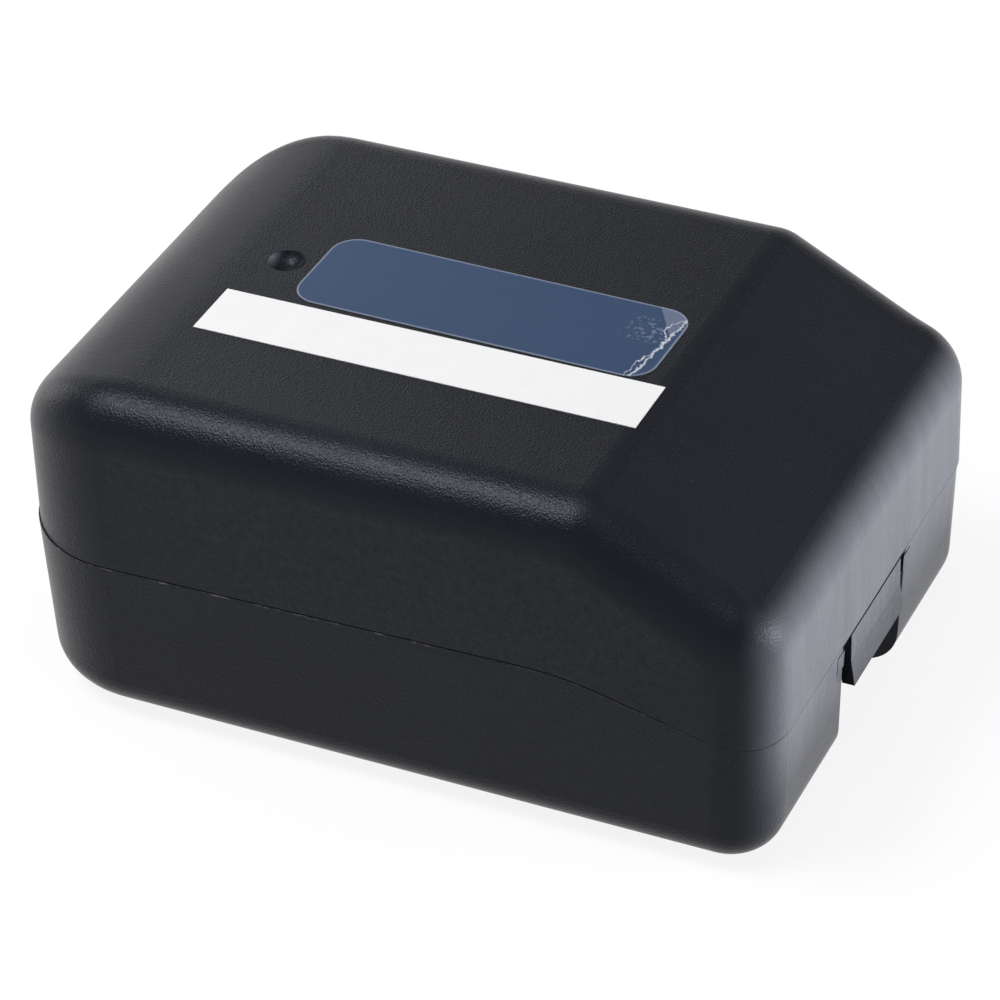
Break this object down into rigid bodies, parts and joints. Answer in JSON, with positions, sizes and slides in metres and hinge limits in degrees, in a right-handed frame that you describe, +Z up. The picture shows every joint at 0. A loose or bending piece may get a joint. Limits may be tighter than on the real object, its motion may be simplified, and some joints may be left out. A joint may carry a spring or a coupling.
{
  "type": "fibre cleaver",
  "caption": "Pocket fibre cleaver: black clamshell case with a rear-hinged cover and nose latch over a sliding scribing blade, fibre clamp, bending anvil and scrap bin.",
  "frame": {"origin": "on the plane that the rubber feet stand on, below the middle of the 100 mm case; the hinge knuckles at the rear and the latch lip put the middle of the overall bounds 0.55 mm behind it", "axes": "+X from the hinged rear to the latched nose, +Y to the scrap bin side, +Z up"},
  "size_m": [0.1021, 0.0708, 0.0467],
  "materials": {
    "casing_plastic": "fine-grained satin moulding",
    "label_blue": "laminated vinyl",
    "label_white": "printed tape, matt",
    "foot_rubber": "matt",
    "pad_rubber": "smooth elastomer",
    "deck_alloy": "bead-blasted and clear anodised",
    "clamp_alloy": "black anodised",
    "machined_steel": "ground",
    "screw_steel": "black oxide",
    "blade_carbide": "lapped carbide",
    "bush_bronze": "sintered",
    "knob_plastic": "moulded",
    "bin_plastic": "moulded",
    "spring_steel": "drawn wire",
    "magnet_nickel": "nickel plated"
  },
  "bodies": {
    "base": {"base_housing": "casing_plastic", "rubber_feet": "foot_rubber", "cover_hinge_pin": "machined_steel", "latch_pin": "machined_steel", "pin_retainers": "casing_plastic", "latch_spring": "spring_steel", "deck_plate": "deck_alloy", "deck_screws": "screw_steel", "front_rail_bracket": "deck_alloy", "rear_rail_bracket": "deck_alloy", "bracket_screws": "screw_steel", "near_guide_rod": "machined_steel", "far_guide_rod": "machined_steel", "carriage_spring": "spring_steel", "near_saddle": "deck_alloy", "far_saddle": "deck_alloy", "saddle_screws": "screw_steel", "near_lower_pad": "pad_rubber", "far_lower_pad": "pad_rubber", "strike_pins": "machined_steel", "clamp_pin": "machined_steel", "fibre_guide": "clamp_alloy", "guide_screws": "screw_steel", "length_scale": "machined_steel", "fibre_lid_pin": "machined_steel"},
    "cover": {"cover_housing": "casing_plastic", "name_label": "label_blue", "strip_label": "label_white", "catch_plate": "machined_steel", "catch_screws": "screw_steel"},
    "latch": {"latch_lever": "casing_plastic"},
    "carriage": {"blade_carriage": "clamp_alloy", "slide_bushes": "bush_bronze", "slide_knob": "knob_plastic", "knob_screw": "screw_steel", "blade_bush": "machined_steel", "blade_washer": "machined_steel", "blade_screw": "screw_steel"},
    "blade": {"cleaving_blade": "blade_carbide"},
    "clamp": {"clamp_arm": "clamp_alloy", "near_upper_pad": "pad_rubber", "far_upper_pad": "pad_rubber", "clamp_magnets": "magnet_nickel", "anvil_spring": "spring_steel"},
    "anvil": {"anvil_button": "knob_plastic", "anvil_foot": "pad_rubber"},
    "fibre_clip": {"fibre_lid": "clamp_alloy"},
    "bin": {"scrap_bin": "bin_plastic", "scrap_lid_pin": "machined_steel"},
    "bin_lid": {"scrap_bin_lid": "bin_plastic"}
  },
  "joints": [
    {"name": "cover_hinge", "type": "hinge", "parent": "base", "child": "cover", "pos_m": [-0.0492, 0, 0.0228], "axis": [0, -1, 0], "range_deg": [0, 100]},
    {"name": "latch_hinge", "type": "hinge", "parent": "base", "child": "latch", "pos_m": [0.0482, 0, 0.0162], "axis": [0, -1, 0], "range_deg": [0, 8], "stiffness_Nm_per_rad": 0.02, "springref_deg": -17.19, "deforming": ["latch_spring"]},
    {"name": "blade_slide", "type": "slide", "parent": "base", "child": "carriage", "axis": [-1, 0, 0], "range_m": [0, 0.024], "stiffness_N_per_m": 30, "springref_m": -0.008, "deforming": ["carriage_spring"]},
    {"name": "blade_index", "type": "hinge", "parent": "carriage", "child": "blade", "pos_m": [0.005, 0, 0.02], "axis": [0, 1, 0], "continuous": true},
    {"name": "clamp_hinge", "type": "hinge", "parent": "base", "child": "clamp", "pos_m": [-0.0175, 0, 0.0302], "axis": [0, -1, 0], "range_deg": [0, 100]},
    {"name": "anvil_press", "type": "slide", "parent": "clamp", "child": "anvil", "axis": [0, 0, -1], "range_m": [0, 0.0018], "stiffness_N_per_m": 300, "springref_m": -0.002, "deforming": ["anvil_spring"]},
    {"name": "fibre_lid_hinge", "type": "hinge", "parent": "base", "child": "fibre_clip", "pos_m": [-0.0165, -0.0248, 0.0302], "axis": [0, -1, 0], "range_deg": [0, 100]},
    {"name": "scrap_bin_lift", "type": "slide", "parent": "base", "child": "bin", "axis": [0, 0, 1], "range_m": [0, 0.012]},
    {"name": "scrap_lid_hinge", "type": "hinge", "parent": "bin", "child": "bin_lid", "pos_m": [-0.008, 0.0309, 0.0272], "axis": [-1, 0, 0], "range_deg": [0, 90]}
  ]
}
